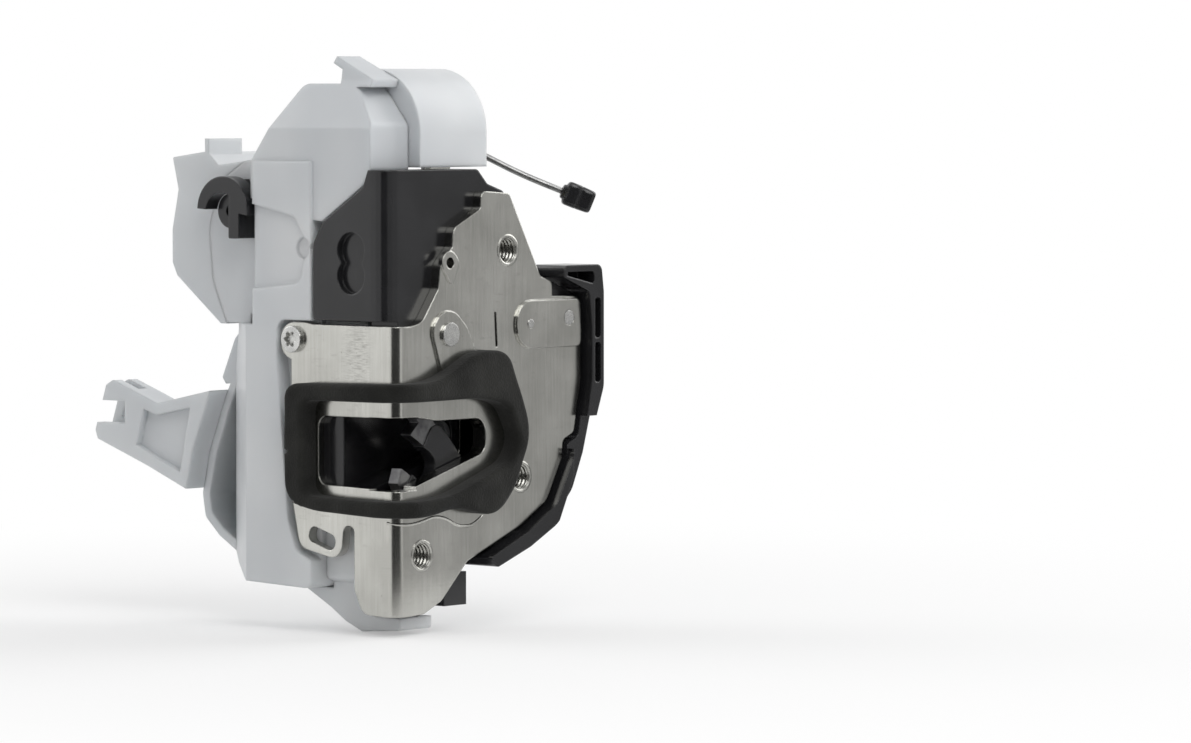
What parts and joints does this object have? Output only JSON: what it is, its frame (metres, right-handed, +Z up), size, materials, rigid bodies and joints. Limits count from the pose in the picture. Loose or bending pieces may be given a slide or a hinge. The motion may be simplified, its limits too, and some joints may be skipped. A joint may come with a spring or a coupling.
{
  "type": "car door lock",
  "caption": "Car door latch with fork bolt, pawl, release lever and rod, foam-sealed striker mouth, lock actuator housing and connector hood.",
  "frame": {"origin": "centre of the top fixing hole on the outer face of the face plate", "axes": "-Y out of the face plate towards the striker, +Z up, -X towards the side flange and the open end of the mouth"},
  "size_m": [0.0942, 0.1268, 0.1543],
  "materials": {
    "zinc_steel": "zinc-plated pressed steel",
    "seal_foam": "matte closed-cell foam",
    "bright_steel": "turned or cold-headed steel",
    "dark_steel": "oiled spring steel",
    "black_plastic": "moulded, semi-gloss",
    "black_rubber": "moulded rubber",
    "white_plastic": "milky natural acetal, slightly translucent",
    "yellow_plastic": "moulded",
    "brass": "plain",
    "motor_steel": "drawn steel can"
  },
  "bodies": {
    "latch": {"face_plate": "zinc_steel", "mouth_seal": "seal_foam", "face_rivets": "bright_steel", "latch_housing": "black_plastic", "back_plate": "zinc_steel", "fork_pivot": "bright_steel", "fork_spring": "dark_steel", "pawl_pivot": "bright_steel", "pawl_spring": "dark_steel", "mouth_channel": "black_plastic", "bump_stop": "black_rubber", "outboard_cover": "black_plastic", "bottom_plug": "black_plastic", "lever_pivot": "bright_steel", "lever_spring": "dark_steel", "main_housing": "white_plastic", "housing_cover": "white_plastic", "key_housing": "white_plastic", "connector_hood": "white_plastic", "connector_pins": "brass", "cable_bracket": "white_plastic", "motor": "motor_steel", "switch_open": "black_plastic", "switch_lock": "black_plastic", "contact_carrier": "black_plastic", "lever_buffer": "black_rubber", "flange_screw": "bright_steel", "cover_screws": "bright_steel"},
    "fork": {"fork_bolt": "dark_steel", "fork_cover": "black_plastic"},
    "pawl_body": {"pawl": "dark_steel", "pawl_pin": "bright_steel"},
    "lever": {"release_lever": "zinc_steel", "rod_holder": "black_plastic"},
    "rod": {"release_rod": "bright_steel", "rod_clip": "black_plastic"},
    "key": {"key_insert": "yellow_plastic"},
    "lock_lever": {"lock_hook": "black_plastic", "lock_sector": "white_plastic"},
    "wheel": {"worm_wheel": "white_plastic"},
    "worm": {"worm_shaft": "brass"}
  },
  "joints": [
    {"name": "fork_turn", "type": "hinge", "parent": "latch", "child": "fork", "pos_m": [-0.015, 0.007, -0.065], "axis": [0, 1, 0], "range_deg": [0, 69], "stiffness_Nm_per_rad": 0.02, "deforming": ["fork_spring"]},
    {"name": "lever_turn", "type": "hinge", "parent": "latch", "child": "lever", "pos_m": [-0.004, 0.02, -0.0125], "axis": [0, 1, 0], "range_deg": [-13, 12], "stiffness_Nm_per_rad": 0.05, "deforming": ["lever_spring"]},
    {"name": "pawl_turn", "type": "hinge", "parent": "latch", "child": "pawl_body", "pos_m": [-0.0245, 0.007, -0.022], "axis": [0, 1, 0], "range_deg": [-6, 6.5], "stiffness_Nm_per_rad": 0.02, "deforming": ["pawl_spring"]},
    {"name": "rod_swivel", "type": "hinge", "parent": "lever", "child": "rod", "pos_m": [0.004, 0.0303, 0.034], "axis": [0, 1, 0], "range_deg": [-60, 5]},
    {"name": "key_turn", "type": "hinge", "parent": "latch", "child": "key", "pos_m": [-0.01, 0.022, 0.032], "axis": [1, 0, 0], "range_deg": [-60, 60]},
    {"name": "wheel_turn", "type": "hinge", "parent": "latch", "child": "wheel", "pos_m": [-0.027, 0.0469, -0.01188], "axis": [1, 0, 0], "range_deg": [0, 126]},
    {"name": "lock_lever_turn", "type": "hinge", "parent": "latch", "child": "lock_lever", "pos_m": [-0.046, 0.062, 0.0105], "axis": [1, 0, 0], "range_deg": [-36, 0]},
    {"name": "worm_turn", "type": "hinge", "parent": "latch", "child": "worm", "pos_m": [-0.027, 0.06033, -0.01188], "axis": [0, 0, 1], "range_deg": [-3024, 0]}
  ],
  "couplings": [
    {"joint": "pawl_turn", "follows": "lever_turn", "ratio": -0.5},
    {"joint": "lock_lever_turn", "follows": "wheel_turn", "ratio": -0.28571},
    {"joint": "worm_turn", "follows": "wheel_turn", "ratio": -24}
  ]
}
